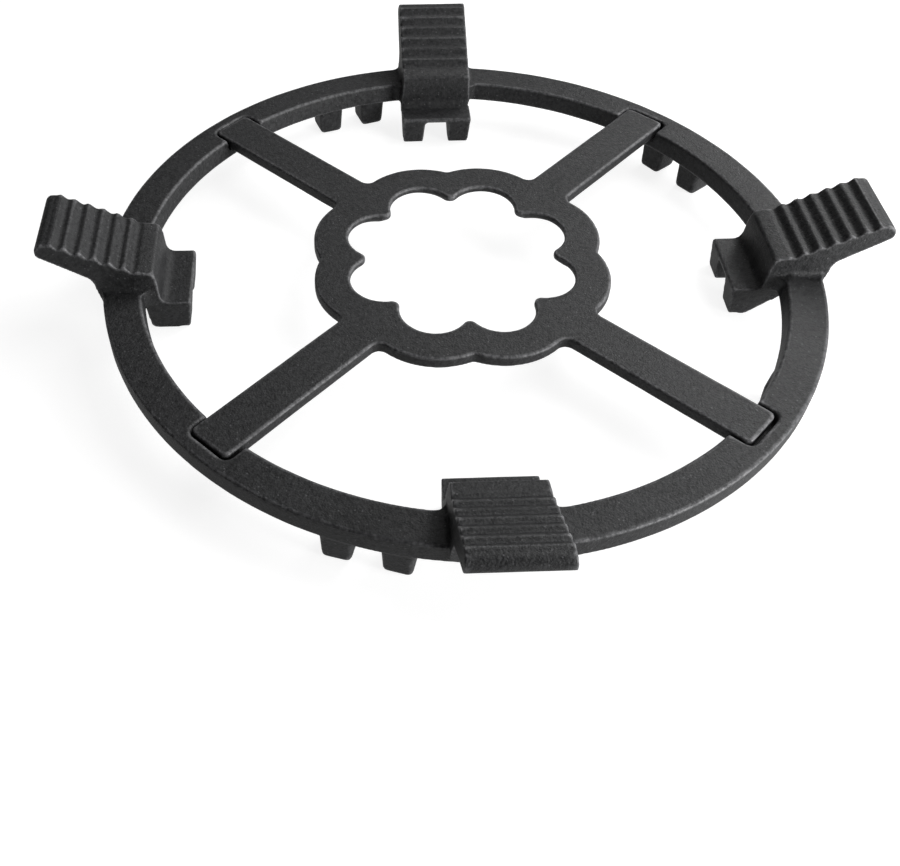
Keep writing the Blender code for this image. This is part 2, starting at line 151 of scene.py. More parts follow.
# Stage: metres, and for the camera also degrees and millimetres of lens and sensor
FLOOR_REACH, FLOOR_DROP, FLOOR_ROUGHNESS = 3.0, 0.0001, 0.9
CAMERA_WHITE = 0.86  # glow of the floor to the camera: its shadows stay faintly visible
MIRRORED_WHITE = 0.50  # glow of the floor in reflections
CAMERA_ELEVATION, CAMERA_TURN, CAMERA_DISTANCE = 49.325, -1.99, 0.3075
CAMERA_AIM = (-0.03538, -0.07927, 0.0)
CAMERA_LENS, SENSOR_WIDTH, CAMERA_SHIFT = 42.42, 36.0, 0.1039
CLIP_START = 0.01

# Numbers of the colour sockets of a Mix node
MIX_FACTOR, MIX_FIRST, MIX_SECOND, MIX_RESULT = 0, 6, 7, 2


# Properties


def length(name, description, millimetres):
    """Length property whose default is given in millimetres."""
    return FloatProperty(
        name=name,
        description=description,
        default=millimetres * MM,
        min=0.0,
        unit="LENGTH",
        precision=4,
    )


def angle_property(name, description, degrees):
    """Angle property whose default is given in degrees."""
    return FloatProperty(
        name=name, description=description, default=math.radians(degrees), subtype="ANGLE"
    )


def colour_property(name, description, colour):
    """Colour property in linear values."""
    return FloatVectorProperty(
        name=name,
        description=description,
        default=colour,
        size=3,
        min=0.0,
        max=1.0,
        subtype="COLOR",
    )


class RingSizes(bpy.types.PropertyGroup):
    """Sizes of the turned ring and of the teeth under it."""

    outer_radius: length("Outer radius", "Radius of the ring's outer wall", 120.0)
    inner_radius: length("Inner radius", "Radius of the ring's inner wall at its top", 107.7)
    top: length("Top", "Height of the ring's flat top above the feet", 17.5)
    thickness: length("Thickness", "Height of the ring's walls", 7.1)
    inner_draft: length("Inner draft", "How much the inner wall leans in towards the bottom", 0.9)
    edge_radius: length("Edge radius", "Rounding of the ring's edges", 0.9)
    tooth_width: length("Tooth width", "Width of one tooth at its foot", 8.8)
    tooth_gap: length("Tooth gap", "Gap in a pair of teeth for one finger of the hob", 9.0)
    tooth_inner_radius: length("Tooth inner radius", "Where a tooth starts, at its foot", 108.5)
    tooth_outer_radius: length("Tooth outer radius", "Where a tooth ends, at its foot", 118.6)
    near_tooth_inset: length("Near tooth inset", "How far in the near right teeth sit", 2.0)
    tooth_edge_radius: length("Tooth edge radius", "Rounding of the teeth", 1.5)
    tooth_draft: FloatProperty(name="Tooth draft", description="Taper of the teeth", default=0.05)


class PadSizes(bpy.types.PropertyGroup):
    """Sizes of the ribbed pads, their posts and the pronged lugs under them."""

    half_width: length("Half width", "Half the width of a pad at its face", 13.2)
    draft: FloatProperty(name="Draft", description="How the pad widens downward", default=0.06)
    face_angle: angle_property("Face angle", "Slope of the ribbed face", 25.3)
    groove_count: IntProperty(name="Grooves", description="Grooves across a pad", default=6, min=1)
    groove_pitch: length("Groove pitch", "Level distance from groove to groove", 4.4)
    groove_depth: length("Groove depth", "Depth of the grooves", 1.1)
    first_groove_radius: length("First groove", "Radius of the first groove's middle", 108.6)
    face_rise: length("Face rise", "Height of the face above the ring at the first groove", 7.7)
    land_radius: length("Land radius", "Radius of the pad's inner edge", 102.0)
    land_rise: length("Land rise", "Height of the pad's inner edge above the ring", 5.8)
    nose_radius: length("Nose radius", "Rounding of the pad's outer tip", 2.8)
    lug_inner_radius: length("Lug inner radius", "Radius of the lug's inner face", 90.9)
    near_inset: length("Near pad inset", "How far in the near pad was cast", 0.9)
    near_wider: length("Near pad extra", "Extra half width of the near pad", 0.6)
    lug_drop: length("Lug drop", "Depth of the lug's top below the ring's top", 6.2)
    lug_draft: FloatProperty(name="Lug draft", description="Taper of the prongs", default=0.075)
    notch_width: length("Notch width", "Gap between the prongs at its roof", 9.0)
    notch_foot_width: length("Notch foot width", "Gap between the prongs at the feet", 10.2)
    notch_roof_drop: length("Notch roof", "Depth of the notch's roof below the ring's top", 8.0)


class StandSizes(bpy.types.PropertyGroup):
    """Sizes of the drop-in pot stand and of the pockets that hold it."""

    rise: length("Rise", "Height of the stand's top above the ring's top", 0.4)
    thickness: length("Thickness", "Thickness of the stand", 4.2)
    edge_radius: length("Edge radius", "Rounding of the stand's rims", 0.6)
    arm_half_width: length("Arm half width", "Half the width of an arm", 7.65)
    arm_end_radius: length("Arm end", "Radius of the arms' ends", 114.2)
    arm_corner_radius: length("Arm corner", "Corner radius of the arms' ends", 2.0)
    arm_fillet: length("Arm fillet", "Fillet between an arm and the scalloped collar", 3.0)
    lobe_count: IntProperty(name="Lobes", description="Scallops round the collar", default=8, min=3)
    opening_lobe_centre: length("Opening lobe centre", "Radius of the opening's lobe centres", 28.4)
    opening_lobe_radius: length("Opening lobe radius", "Radius of the opening's lobes", 11.2)
    opening_cusp_radius: length("Opening cusp radius", "Rounding of the cusps of metal", 2.4)
    outer_lobe_centre: length("Outer lobe centre", "Radius of the outer lobes' centres", 26.9)
    outer_lobe_radius: length("Outer lobe radius", "Radius of the outer lobes", 24.4)
    outer_notch_radius: length("Outer notch radius", "Rounding between the outer lobes", 2.4)
    undercut_width: length("Undercut width", "Width of the slope under the opening's rim", 3.0)
    undercut_height: length("Undercut height", "Height of the slope under the opening's rim", 2.2)
    shift: length("Shift", "How far the stand lies to the left in its pockets", 0.4)
    pocket_side_gap: length("Pocket side gap", "Play beside an arm", 0.8)
    pocket_end_gap: length("Pocket end gap", "Play at an arm's end", 1.0)
    pocket_floor_gap: length("Pocket floor gap", "Gap under an arm", 0.3)
    pocket_corner_radius: length("Pocket corner", "Corner radius of a pocket", 3.0)
    pocket_rim: length("Pocket rim", "Flare of a pocket's rim", 0.5)


class IronFinish(bpy.types.PropertyGroup):
    """Skin and colour of the cast iron."""

    ring_colour: colour_property("Ring", "Colour of the ring's iron", (0.0135, 0.0138, 0.0147))
    stand_colour: colour_property("Stand", "Colour of the stand's iron", (0.0150, 0.0153, 0.0162))
    # Lighter colour on rubbed edges and ridge crests: real wear and a painted highlight
    worn_and_highlight_colour: colour_property("Worn edges", "Colour where edges are rubbed", (0.14, 0.14, 0.145))
    skin_step: length("Skin step", "Spacing of the skin before it is thinned out", 0.45)
    lump_size: length("Lump size", "Width of the casting's low lumps", 11.0)
    lump_height: length("Lump height", "Height of the casting's low lumps", 0.10)
    grain_size: length("Grain size", "Width of the sand grain that shaped the skin", 0.70)
    grain_height: length("Grain height", "Height of the sand grain", 0.095)
    # Painted glints: the colour of the bright specks
    glint_speck_colour: colour_property("Specks", "Colour of the bright specks", (0.13, 0.13, 0.135))


class StageSettings(bpy.types.PropertyGroup):
    """Lamps and floor of the stage."""

    floor_colour: colour_property("Floor", "Colour of the floor", (0.38, 0.38, 0.38))
    lamp_level: FloatProperty(name="Lamps", description="Factor on every lamp's power", default=1.0)
    sky_strength: FloatProperty(name="Sky", description="Strength of the even sky", default=0.04)


# Node trees


class NodeBuilder:
    """Short way to fill a node tree, for surfaces and for geometry."""

    def __init__(self, tree):
        self.tree = tree

    def feed(self, socket, value):
        """Link an output to a socket, or set the socket to a value."""
        if isinstance(value, bpy.types.NodeSocket):
            self.tree.links.new(value, socket)
        else:
            socket.default_value = value

    def add(self, kind, sockets=None, **settings):
        """Add a node; sockets maps a socket's name or number to an output or a value."""
        node = self.tree.nodes.new(kind)
        for key, value in settings.items():
            setattr(node, key, value)
        for key, value in (sockets or {}).items():
            self.feed(node.inputs[key], value)
        return node

    def math(self, operation, *values):
        """Add a Math node and return its output."""
        sockets = dict(enumerate(values))
        return self.add("ShaderNodeMath", sockets, operation=operation).outputs[0]

    def vector(self, operation, *values):
        """Add a Vector Math node and return its node."""
        return self.add("ShaderNodeVectorMath", dict(enumerate(values)), operation=operation)

    def remap(self, value, low, high, new_low, new_high):
        """Map a value linearly and clamp it."""
        sockets = {0: value, 1: low, 2: high, 3: new_low, 4: new_high}
        return self.add("ShaderNodeMapRange", sockets).outputs[0]


class GeometryTree(NodeBuilder):
    """Geometry node tree with named inputs that ends in Realize Instances and Set Material."""

    def __init__(self, name, inputs):
        super().__init__(bpy.data.node_groups.new(name, "GeometryNodeTree"))
        sockets = self.tree.interface
        sockets.new_socket("Geometry", in_out="INPUT", socket_type="NodeSocketGeometry")
        for label, kind in inputs:
            sockets.new_socket(label, in_out="INPUT", socket_type=f"NodeSocket{kind}")
        sockets.new_socket("Material", in_out="INPUT", socket_type="NodeSocketMaterial")
        sockets.new_socket("Geometry", in_out="OUTPUT", socket_type="NodeSocketGeometry")
        self.start = self.tree.nodes.new("NodeGroupInput")

    def input(self, name):
        """Output of the group input node."""
        return self.start.outputs[name]

    def close(self, geometry):
        """Realize the instances, set the material and feed the group's output."""
        realized = self.add("GeometryNodeRealizeInstances", {"Geometry": geometry})
        sockets = {"Geometry": realized.outputs[0], "Material": self.input("Material")}
        painted = self.add("GeometryNodeSetMaterial", sockets)
        self.add("NodeGroupOutput", {"Geometry": painted.outputs[0]})
        return self.tree


def run_tree(item, tree, material, **values):
    """Give an object a tree as modifier; values are named as the inputs, with _ for a space."""
    modifier = item.modifiers.new(tree.name, "NODES")
    modifier.node_group = tree
    sockets = {
        socket.name: socket.identifier
        for socket in tree.interface.items_tree
        if socket.in_out == "INPUT"
    }
    modifier[sockets["Material"]] = material
    for name, value in values.items():
        modifier[sockets[name.replace("_", " ")]] = value
    return modifier


def repeat_round(item, circle, count, first, step):
    """Repeat an object round the ring's axis; the angles are in degrees."""
    turn = {"First_angle": math.radians(first), "Step_angle": math.radians(step)}
    run_tree(item, circle, None, Count=count, **turn)


def ridge_tree():
    """Cut a row of grooves, which leaves ridges, into the geometry that comes in."""
    floats = ("Pitch", "Slope", "First radius", "First height")
    inputs = [("Groove", "Object"), ("Count", "Int")] + [(name, "Float") for name in floats]
    t = GeometryTree("ridge_row", inputs)
    rise = t.math("MULTIPLY", t.input("Pitch"), t.input("Slope"))
    sockets = {"X": t.input("First radius"), "Z": t.input("First height")}
    first = t.add("ShaderNodeCombineXYZ", sockets)
    step = t.add("ShaderNodeCombineXYZ", {"X": t.input("Pitch"), "Z": rise})
    sockets = {
        "Count": t.input("Count"),
        "Start Location": first.outputs[0],
        "Offset": step.outputs[0],
    }
    line = t.add("GeometryNodeMeshLine", sockets)
    groove = t.add("GeometryNodeObjectInfo", {"Object": t.input("Groove")})
    sockets = {"Points": line.outputs[0], "Instance": groove.outputs["Geometry"]}
    row = t.add("GeometryNodeInstanceOnPoints", sockets)
    row = t.add("GeometryNodeRealizeInstances", {"Geometry": row.outputs[0]})
    cut = t.add("GeometryNodeMeshBoolean", operation="DIFFERENCE", solver="EXACT")
    t.feed(cut.inputs["Mesh 1"], t.input("Geometry"))
    t.feed(cut.inputs["Mesh 2"], row.outputs[0])
    cut.inputs["Self Intersection"].default_value = True
    return t.close(cut.outputs["Mesh"])


def circle_tree():
    """Repeat the geometry that comes in at equal steps round the ring's axis."""
    inputs = [("Count", "Int"), ("First angle", "Float"), ("Step angle", "Float")]
    t = GeometryTree("round_the_axis", inputs)
    points = t.add("GeometryNodePoints", {"Count": t.input("Count")})
    index = t.add("GeometryNodeInputIndex").outputs[0]
    turn = t.math("MULTIPLY_ADD", index, t.input("Step angle"), t.input("First angle"))
    rotation = t.add("ShaderNodeCombineXYZ", {"Z": turn})
    sockets = {"Points": points.outputs[0], "Instance": t.input("Geometry")}
    sockets["Rotation"] = rotation.outputs[0]
    return t.close(t.add("GeometryNodeInstanceOnPoints", sockets).outputs[0])


def lobed_radius(t, angle, prefix):
    """Distance from the axis to a rim of round lobes joined by small arcs."""
    centre = t.input(f"{prefix} lobe centre")
    radius = t.input(f"{prefix} lobe radius")
    arc_centre = t.input(f"{prefix} arc centre")
    arc_radius = t.input(f"{prefix} arc radius")
    half_step = t.input("Half step")
    lowest = t.math("MULTIPLY", half_step, -1.0)
    to_lobe = t.math("WRAP", t.math("SUBTRACT", angle, half_step), half_step, lowest)
    to_arc = t.math("SUBTRACT", half_step, t.math("ABSOLUTE", to_lobe))

    def chord(distance, size, turn, sign):
        along = t.math("MULTIPLY", distance, t.math("COSINE", turn))
        across = t.math("MULTIPLY", distance, t.math("SINE", turn))
        square = t.math("SUBTRACT", t.math("POWER", size, 2.0), t.math("POWER", across, 2.0))
        root = t.math("SQRT", t.math("MAXIMUM", square, 0.0))
        return t.math("MULTIPLY_ADD", root, sign, along)

    lobe = chord(centre, radius, to_lobe, 1.0)
    joint = chord(arc_centre, arc_radius, to_arc, -1.0)
    near = t.math("LESS_THAN", to_arc, t.input(f"{prefix} arc angle"))
    sockets = {"Factor": near, "A": lobe, "B": joint}
    return t.add("ShaderNodeMix", sockets, data_type="FLOAT").outputs[0]


def scallop_tree():
    """Push the rims of a turned plate out and in so that they follow round lobes."""
    inputs = [("Half step", "Float"), ("Inner rim", "Float"), ("Outer rim", "Float")]
    for prefix in ("Opening", "Outer"):
        for what in ("lobe centre", "lobe radius", "arc centre", "arc radius", "arc angle"):
            inputs.append((f"{prefix} {what}", "Float"))
    t = GeometryTree("scalloped_rims", inputs)
    place = t.add("GeometryNodeInputPosition").outputs[0]
    split = t.add("ShaderNodeSeparateXYZ", {0: place})
    x, y, z = split.outputs
    radius = t.math("SQRT", t.math("MULTIPLY_ADD", x, x, t.math("MULTIPLY", y, y)))
    angle = t.math("ARCTAN2", y, x)
    past_inner = t.math("SUBTRACT", radius, t.input("Inner rim"))
    inner = t.math("ADD", lobed_radius(t, angle, "Opening"), past_inner)
    short_of_outer = t.math("SUBTRACT", t.input("Outer rim"), radius)
    outer = t.math("SUBTRACT", lobed_radius(t, angle, "Outer"), short_of_outer)
    middle = t.math("MULTIPLY", t.math("ADD", t.input("Inner rim"), t.input("Outer rim")), 0.5)
    outward = t.math("GREATER_THAN", radius, middle)
    sockets = {"Factor": outward, "A": inner, "B": outer}
    wanted = t.add("ShaderNodeMix", sockets, data_type="FLOAT").outputs[0]
    scale = t.math("DIVIDE", wanted, radius)
    sockets = {"X": t.math("MULTIPLY", x, scale), "Y": t.math("MULTIPLY", y, scale), "Z": z}
    moved = t.add("ShaderNodeCombineXYZ", sockets)
    sockets = {"Geometry": t.input("Geometry"), "Position": moved.outputs[0]}
    return t.close(t.add("GeometryNodeSetPosition", sockets).outputs[0])


def skin_tree():
    """Raise a casting's low lumps, and store where its edges stand proud and its corners sink."""
    inputs = [(name, "Float") for name in ("Lump size", "Lump height", "Seed")]
    inputs.append(("Wear reach", "Int"))
    t = GeometryTree("cast_skin", inputs)
    place = t.add("GeometryNodeInputPosition").outputs[0]
    normal = t.add("GeometryNodeInputNormal").outputs[0]
    blur = t.add("GeometryNodeBlurAttribute", data_type="FLOAT_VECTOR")
    vector_sockets = [socket for socket in blur.inputs if socket.name == "Value" and socket.enabled]
    t.feed(vector_sockets[0], place)
    t.feed(blur.inputs["Iterations"], t.input("Wear reach"))
    blurred = [socket for socket in blur.outputs if socket.enabled][0]
    proud = t.vector("DOT_PRODUCT", t.vector("SUBTRACT", place, blurred).outputs[0], normal)
    store = t.add("GeometryNodeStoreNamedAttribute", data_type="FLOAT", domain="POINT")
    t.feed(store.inputs["Geometry"], t.input("Geometry"))
    t.feed(store.inputs["Name"], "stands_proud")
    t.feed([s for s in store.inputs if s.name == "Value" and s.enabled][0], proud.outputs["Value"])
    scale = t.math("DIVIDE", 1.0, t.input("Lump size"))
    noise = t.add(
        "ShaderNodeTexNoise",
        {"W": t.input("Seed"), "Scale": scale, "Detail": 2.0, "Roughness": 0.55},
        noise_dimensions="4D",
    )
    t.feed(noise.inputs["Vector"], place)
    height = t.math("MULTIPLY", t.math("SUBTRACT", noise.outputs[0], 0.5), t.input("Lump height"))
    height = t.math("MULTIPLY", height, 2.0)
    offset = t.vector("SCALE", normal)
    t.feed(offset.inputs["Scale"], height)
    sockets = {"Geometry": store.outputs[0], "Offset": offset.outputs[0]}
    return t.close(t.add("GeometryNodeSetPosition", sockets).outputs[0])


# Shapes


def bench():
    """New collection for the shapes that a casting is put together from."""
    group = bpy.data.collections.new("bench")
    bpy.context.scene.collection.children.link(group)
    return group


def clear_bench(group):
    """Remove the shapes and the collection they were in."""
    for item in list(group.objects):
        bpy.data.objects.remove(item, do_unlink=True)
    bpy.data.collections.remove(group)


def placed(name, data, group):
    """New object of a mesh, lamp or camera in a collection."""
    item = bpy.data.objects.new(name, data)
    group.objects.link(item)
    return item


def mesh_from_bmesh(name, bm):
    """Store a bmesh as a new mesh."""
    mesh = bpy.data.meshes.new(name)
    bm.to_mesh(mesh)
    bm.free()
    return mesh


def object_from_bmesh(name, bm, group):
    """Store a bmesh, with its faces turned outward, as a new object."""
    bmesh.ops.recalc_face_normals(bm, faces=bm.faces)
    return placed(name, mesh_from_bmesh(name, bm), group)


def finished_mesh(item):
    """Plain mesh of an object with its modifiers and its place applied."""
    bpy.context.view_layer.update()
    shown = item.evaluated_get(bpy.context.evaluated_depsgraph_get())
    mesh = bpy.data.meshes.new_from_object(shown)
    mesh.transform(item.matrix_world)
    return mesh


def joined(name, items, group):
    """One object with the finished meshes of several."""
    bm = bmesh.new()
    for item in items:
        mesh = finished_mesh(item)
        bm.from_mesh(mesh)
        bpy.data.meshes.remove(mesh)
    return placed(name, mesh_from_bmesh(name, bm), group)


def arc(centre, radius, start, end, steps):
    """Points on an arc, both ends included; the angles are in degrees."""
    angles = np.radians(np.linspace(start, end, steps + 1))
    return [(centre[0] + radius * math.cos(a), centre[1] + radius * math.sin(a)) for a in angles]


def rounded(corners):
    """Outline of a polygon of (x, y, radius) corners, each turned into an arc."""
    points = []
    count = len(corners)
    for i, (x, y, radius) in enumerate(corners):
        here = Vector((x, y))
        before = (Vector(corners[i - 1][:2]) - here).normalized()
        after = (Vector(corners[(i + 1) % count][:2]) - here).normalized()
        turn = math.pi - before.angle(after)
        if radius == 0.0 or turn < math.radians(3.0):
            points.append((x, y))
            continue
        reach = radius * math.tan(turn / 2.0)
        centre = here + (before + after).normalized() * (radius / math.cos(turn / 2.0))
        start = here + before * reach - centre
        sweep = start.angle_signed(here + after * reach - centre)
        steps = max(2, round(math.degrees(turn) / STEP_DEGREES))
        for k in range(steps + 1):
            points.append(tuple(centre + Matrix.Rotation(-sweep * k / steps, 2) @ start))
    return points


def prism(name, outline, half_width, group):
    """Extrude an outline in X and Z to both sides; half_width(x, z) may vary over the outline."""
    loops = [[(x, side * half_width(x, z), z) for x, z in outline] for side in (-1.0, 1.0)]
    return loft(name, loops, group)


def loft(name, loops, group):
    """Close a solid over loops of equally many points, the first and last loops filled."""
    bm = bmesh.new()
    rows = [[bm.verts.new(point) for point in loop] for loop in loops]
    count = len(rows[0])
    for low, high in zip(rows, rows[1:]):
        for i in range(count):
            j = (i + 1) % count
            bm.faces.new((low[i], low[j], high[j], high[i]))
    bm.faces.new(rows[0])
    bm.faces.new(rows[-1])
    return object_from_bmesh(name, bm, group)


def turned(name, outline, steps, group):
    """Turn a closed outline of (radius, z) points round the axis."""
    mesh = bpy.data.meshes.new(name)
    edges = [(i, (i + 1) % len(outline)) for i in range(len(outline))]
    mesh.from_pydata([(x, 0.0, z) for x, z in outline], edges, [])
    item = placed(name, mesh, group)
    screw = item.modifiers.new("turn", "SCREW")
    screw.steps = steps
    screw.render_steps = steps
    screw.use_merge_vertices = True
    screw.merge_threshold = 0.00001
    return item


def cut_away(item, cutter):
    """Cut one object out of another."""
    boolean = item.modifiers.new("cut", "BOOLEAN")
    boolean.operation = "DIFFERENCE"
    boolean.solver = "EXACT"
    boolean.object = cutter


# Pads with their posts and lugs


class PadShape:
    """One pad on the X axis, with its post, lug and fillets."""

    def __init__(self, ring, pad, inset=0.0, wider=0.0):
        self.ring = ring
        self.pad = pad
        self.inset = inset
        self.wider = wider
        self.first_radius = pad.first_groove_radius - inset
        self.lug_inner = pad.lug_inner_radius - inset
        self.bottom = ring.top - ring.thickness
        self.parting = self.bottom - PARTING_DROP
        self.slope = math.tan(pad.face_angle)

    def face_z(self, radius):
        """Height of the plane through the ridges' crests."""
        rise = (radius - self.first_radius) * self.slope
        return self.ring.top + self.pad.face_rise + rise

    def half_width(self, radius, z):
        """Half width of pad, post and lug: it grows down to the parting line, then shrinks."""
        upper = self.pad.half_width + self.wider
        upper += self.pad.draft * (self.face_z(radius) - max(z, self.parting))
        return upper - self.pad.lug_draft * max(self.parting - z, 0.0)

    def corners(self, long_lug):
        """Side view as (radius, z, rounding) corners, with the ribbed face still flat."""
        top, pad = self.ring.top, self.pad
        nose = pad.nose_radius
        nose_x = PAD_TIP_R - self.inset - nose
        nose_z = PAD_TOP_Z - nose
        face_start = self.first_radius - pad.groove_pitch / 2.0
        face_end = face_start + pad.groove_count * pad.groove_pitch
        foot_z = self.bottom + POST_FOOT_RISE
        upper_r, lower_r, rounding = LONG_LUG_FOOT if long_lug else SHORT_LUG_FOOT
        foot = [(upper_r, foot_z, 0.0), (lower_r, 0.0, rounding)]
        inner = self.lug_inner
        lug_top = top - pad.lug_drop
        return (
            [(pad.land_radius - self.inset, top + pad.land_rise, LAND_ROUNDING)]
            + [(x, self.face_z(x) + FACE_PROUD, 0.0) for x in (face_start, face_end)]
            + [(x, z, 0.0) for x, z in arc((nose_x, nose_z), nose, *NOSE_ARC)]
            + [
                (UNDERSIDE_R, top + UNDERSIDE_RISE, UNDERSIDE_ROUNDING),
                (POST_FOOT_R, foot_z, 0.0),
            ]
            + foot
            + [
                (inner + LUG_LEAN, 0.0, LUG_FOOT_ROUNDING),
                (inner, lug_top, LUG_TOP_ROUNDING),
                (inner + LUG_TOP_LENGTH, lug_top, POST_ROUNDING),
                (inner + POST_OFFSET, top + POST_RISE, POST_ROUNDING),
            ]
        )

    def groove(self, group):
        """Cutter for one groove, whose floor is a single wave below the sloping face."""
        points = []
        for turns in np.linspace(0.0, 1.0, GROOVE_SAMPLES):
            x = self.pad.groove_pitch * (turns - 0.5)
            sink = self.pad.groove_depth * 0.5 * (1.0 - math.cos(2.0 * math.pi * turns))
            points.append((x, x * self.slope - sink))
        end, top = self.pad.groove_pitch / 2.0 + GROOVE_MARGIN, GROOVE_CUTTER_RISE
        for x, rise in ((end, 0.0), (end, top), (-end, top), (-end, 0.0)):
            points.append((x, x * self.slope + rise))
        reach = self.pad.half_width + self.wider + BEYOND
        return prism("groove", points, lambda x, z: reach, group)

    def notch(self, group):
        """Gap between the two prongs of a lug, wider towards the feet."""
        pad = self.pad
        roof = self.ring.top - pad.notch_roof_drop
        flare = (pad.notch_foot_width - pad.notch_width) / roof
        top_half = pad.notch_width / 2.0
        foot_half = top_half + flare / 2.0 * (roof + BEYOND)
        roof_corners = [(y, roof, NOTCH_ROUNDING) for y in (-top_half, top_half)]
        outline = rounded(roof_corners + [(y, -BEYOND, 0.0) for y in (foot_half, -foot_half)])
        ends = (self.lug_inner - BEYOND, self.ring.inner_radius + NOTCH_REACH)
        return loft("notch", [[(radius, y, z) for y, z in outline] for radius in ends], group)

    def top_cove(self, side, group):
        """Concave fillet between one side of the post and the top of the ring."""
        ring, size = self.ring, TOP_COVE_R
        section = [(-OVERLAP, size)] + arc((size, size), size, 180.0, 270.0, TOP_COVE_STEPS)
        section += [(size, -OVERLAP), (-OVERLAP, -OVERLAP)]
        loops = []
        for radius in (ring.inner_radius + ring.edge_radius, ring.outer_radius - ring.edge_radius):
            loop = []
            for offset, rise in section:
                width = self.half_width(radius, ring.top + rise) + offset
                loop.append((radius, side * width, ring.top + rise))
            loops.append(loop)
        return loft("top_cove", loops, group)

    def inner_cove(self, side, group):
        """Upright concave fillet between one side of the post and the ring's inner wall."""
        ring, size = self.ring, INNER_COVE_R
        reach = ring.inner_radius - size
        buried = ring.inner_radius + 3.0 * OVERLAP
        loops = []
        for z in (self.bottom + ring.edge_radius, ring.top - ring.edge_radius / 3.0):
            half = self.half_width(ring.inner_radius, z)
            centre_x = math.sqrt(reach**2 - (half + size) ** 2)
            end = math.degrees(math.atan2(half + size, centre_x))
            outline = arc((centre_x, half + size), size, -90.0, end, INNER_COVE_STEPS)
            sunk = half - OVERLAP
            outline += [(buried, outline[-1][1]), (buried, sunk), (centre_x, sunk)]
            loops.append([(x, side * y, z) for x, y in outline])
        return loft("inner_cove", loops, group)

    def build(self, long_lug, ridges, group):
        """Pad with ridges cut in, notch cut out and fillets added, as one object."""
        body = prism("pad", rounded(self.corners(long_lug)), self.half_width, group)
        row = {"Count": self.pad.groove_count, "Pitch": self.pad.groove_pitch, "Slope": self.slope}
        row["First_radius"] = self.first_radius
        row["First_height"] = self.face_z(self.first_radius)
        run_tree(body, ridges, None, Groove=self.groove(group), **row)
        cut_away(body, self.notch(group))
        parts = [body]
        for side in (-1, 1):
            parts += [self.top_cove(side, group), self.inner_cove(side, group)]
        return joined("pad_with_fillets", parts, group)


# Ring and stand


def ring_body(sizes, group):
    """Turned ring with rounded edges and a drafted inner wall."""
    bottom = sizes.top - sizes.thickness
    corners = [
        (sizes.outer_radius, sizes.top, sizes.edge_radius),
        (sizes.outer_radius, bottom, sizes.edge_radius),
        (sizes.inner_radius - sizes.inner_draft, bottom, sizes.edge_radius),
        (sizes.inner_radius, sizes.top, sizes.edge_radius),
    ]
    return turned("ring_body", rounded(corners), RING_STEPS, group)


def pocket(ring, stand, group):
    """Cutter for one shallow pocket on the X axis, open to the inside, with a flared rim."""
    floor = ring.top + stand.rise - stand.thickness - stand.pocket_floor_gap
    half = stand.arm_half_width + stand.pocket_side_gap
    end = stand.arm_end_radius + stand.pocket_end_gap
    start = ring.inner_radius - BEYOND
    levels = [(floor, 0.0), (ring.top - stand.pocket_rim, 0.0)]
    for part in POCKET_FLARE_PARTS:
        drop = stand.pocket_rim * math.sqrt(1.0 - part**2)
        levels.append((ring.top - drop, stand.pocket_rim * part))
    levels.append((ring.top + BEYOND, stand.pocket_rim))
    loops = []
    for z, flare in levels:
        far, side, bend = end + flare, half + flare, stand.pocket_corner_radius
        corners = [(start, -side, 0.0), (far, -side, bend), (far, side, bend), (start, side, 0.0)]
        loops.append([(x, y, z) for x, y in rounded(corners)])
    return loft("pocket", loops, group)


def tooth_pair(ring, inset, group):
    """Two teeth beside the X axis, tapered and rounded, sunk into the ring above them."""
    top = ring.top - ring.thickness + 2.0 * OVERLAP
    middle_r = (ring.tooth_inner_radius + ring.tooth_outer_radius) / 2.0 - inset
    teeth = []
    for side in (-1, 1):
        bm = bmesh.new()
        bmesh.ops.create_cube(bm, size=1.0)
        for vert in bm.verts:
            z = top if vert.co.z > 0.0 else 0.0
            spread = 2.0 * ring.tooth_draft * z
            depth = ring.tooth_outer_radius - ring.tooth_inner_radius + spread
            width = ring.tooth_width + spread
            centre_y = side * (ring.tooth_gap + ring.tooth_width) / 2.0
            vert.co = (middle_r + vert.co.x * depth, centre_y + vert.co.y * width, z)
        tooth = object_from_bmesh("tooth", bm, group)
        bevel = tooth.modifiers.new("rounding", "BEVEL")
        bevel.width = ring.tooth_edge_radius
        bevel.segments = BEVEL_SEGMENTS
        teeth.append(tooth)
    return joined("tooth_pair", teeth, group)


def small_arc(count, lobe_centre, lobe_radius, arc_radius):
    """Centre and half angle, seen from the axis, of the arc that joins two lobes."""
    half_step = math.pi / count
    lobe_x = lobe_centre * math.cos(half_step)
    lobe_y = lobe_centre * math.sin(half_step)
    centre = lobe_x + math.sqrt((lobe_radius + arc_radius) ** 2 - lobe_y**2)
    share = arc_radius / (lobe_radius + arc_radius)
    touch_x = centre + (lobe_x - centre) * share
    touch_y = lobe_y * share
    return centre, math.atan2(touch_y, touch_x)


